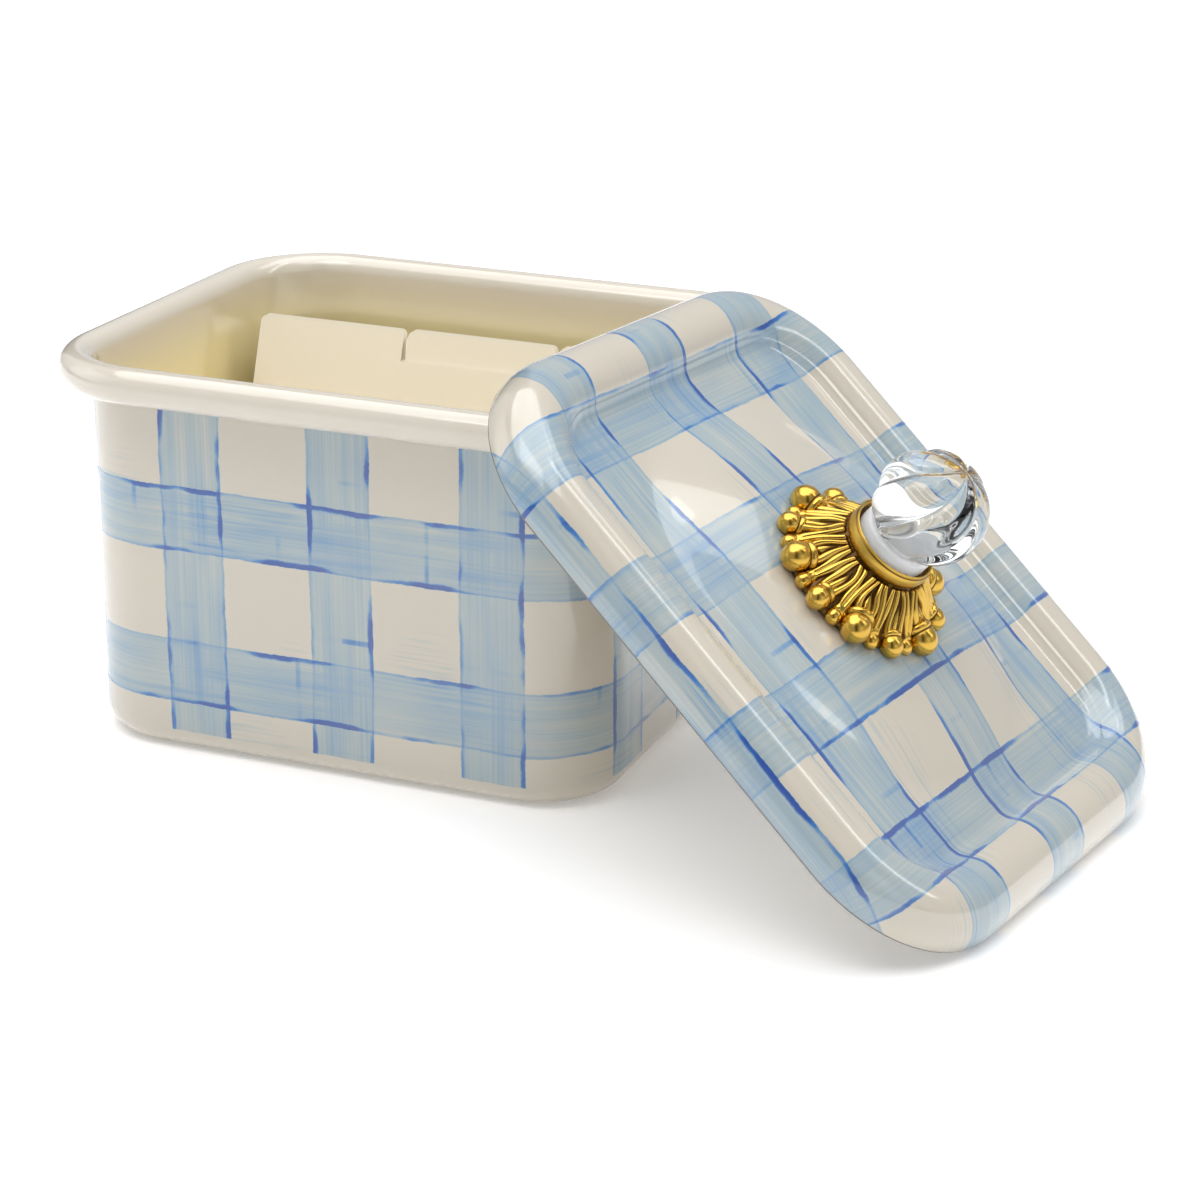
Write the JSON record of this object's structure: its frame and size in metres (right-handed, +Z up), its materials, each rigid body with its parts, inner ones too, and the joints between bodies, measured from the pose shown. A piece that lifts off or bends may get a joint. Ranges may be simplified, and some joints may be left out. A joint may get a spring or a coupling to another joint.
{
  "type": "recipe card box",
  "caption": "Enamelled steel box for recipe cards, with a rolled rim, tab dividers, a pack of cards and a lid with a glass knob on a cast rosette.",
  "frame": {"origin": "centre of the flat underside of the box, at the level of the table", "axes": "+X along the box towards the lid that leans on its right end, -Y towards the front, +Z up"},
  "size_m": [0.3207, 0.2126, 0.1355],
  "materials": {
    "enamel": "glossy vitreous enamel, cream with hand-brushed pale blue",
    "brass": "polished, darker in the recesses",
    "knob_glass": "clear, fire-polished",
    "steel": "zinc-plated",
    "divider_stock": "matt cream board",
    "card_stock": "matt ivory card"
  },
  "bodies": {
    "box": {"box_shell": "enamel"},
    "lid": {"lid_shell": "enamel", "rosette": "brass", "knob_collar": "brass", "glass_knob": "knob_glass", "knob_screw": "steel", "knob_washer": "steel"},
    "divider_left_front": {"divider_left_front": "divider_stock"},
    "divider_centre_front": {"divider_centre_front": "divider_stock"},
    "divider_right_front": {"divider_right_front": "divider_stock"},
    "divider_left_back": {"divider_left_back": "divider_stock"},
    "divider_centre_back": {"divider_centre_back": "divider_stock"},
    "divider_right_back": {"divider_right_back": "divider_stock"},
    "cards": {"recipe_cards": "card_stock"}
  },
  "joints": [
    {"name": "lid_lift", "type": "slide", "parent": "box", "child": "lid", "axis": [0, 0, 1], "range_m": [0, 0.15]},
    {"name": "left_front_tip", "type": "hinge", "parent": "box", "child": "divider_left_front", "pos_m": [0.0025, -0.00237, 0.0016], "axis": [1, 0, 0], "range_deg": [0, 46]},
    {"name": "centre_front_tip", "type": "hinge", "parent": "box", "child": "divider_centre_front", "pos_m": [0.0025, -0.00158, 0.0016], "axis": [1, 0, 0], "range_deg": [0, 43.3]},
    {"name": "right_front_tip", "type": "hinge", "parent": "box", "child": "divider_right_front", "pos_m": [0.0025, -0.00078, 0.0016], "axis": [1, 0, 0], "range_deg": [0, 40.6]},
    {"name": "left_back_tip", "type": "hinge", "parent": "box", "child": "divider_left_back", "pos_m": [0.0025, 0.00001, 0.0016], "axis": [1, 0, 0], "range_deg": [0, 20.8]},
    {"name": "centre_back_tip", "type": "hinge", "parent": "box", "child": "divider_centre_back", "pos_m": [0.0025, 0.00081, 0.0016], "axis": [1, 0, 0], "range_deg": [0, 17.6]},
    {"name": "right_back_tip", "type": "hinge", "parent": "box", "child": "divider_right_back", "pos_m": [0.0025, 0.00161, 0.0016], "axis": [1, 0, 0], "range_deg": [0, 14.4]},
    {"name": "cards_tip", "type": "hinge", "parent": "box", "child": "cards", "pos_m": [0.0025, 0.00272, 0.0016], "axis": [1, 0, 0], "range_deg": [0, 4.7]}
  ],
  "couplings": [
    {"joint": "centre_front_tip", "follows": "left_front_tip", "ratio": 0.94},
    {"joint": "right_front_tip", "follows": "left_front_tip", "ratio": 0.88},
    {"joint": "left_back_tip", "follows": "left_front_tip", "ratio": 0.45},
    {"joint": "centre_back_tip", "follows": "left_front_tip", "ratio": 0.38},
    {"joint": "right_back_tip", "follows": "left_front_tip", "ratio": 0.31},
    {"joint": "cards_tip", "follows": "left_front_tip", "ratio": 0.1}
  ]
}
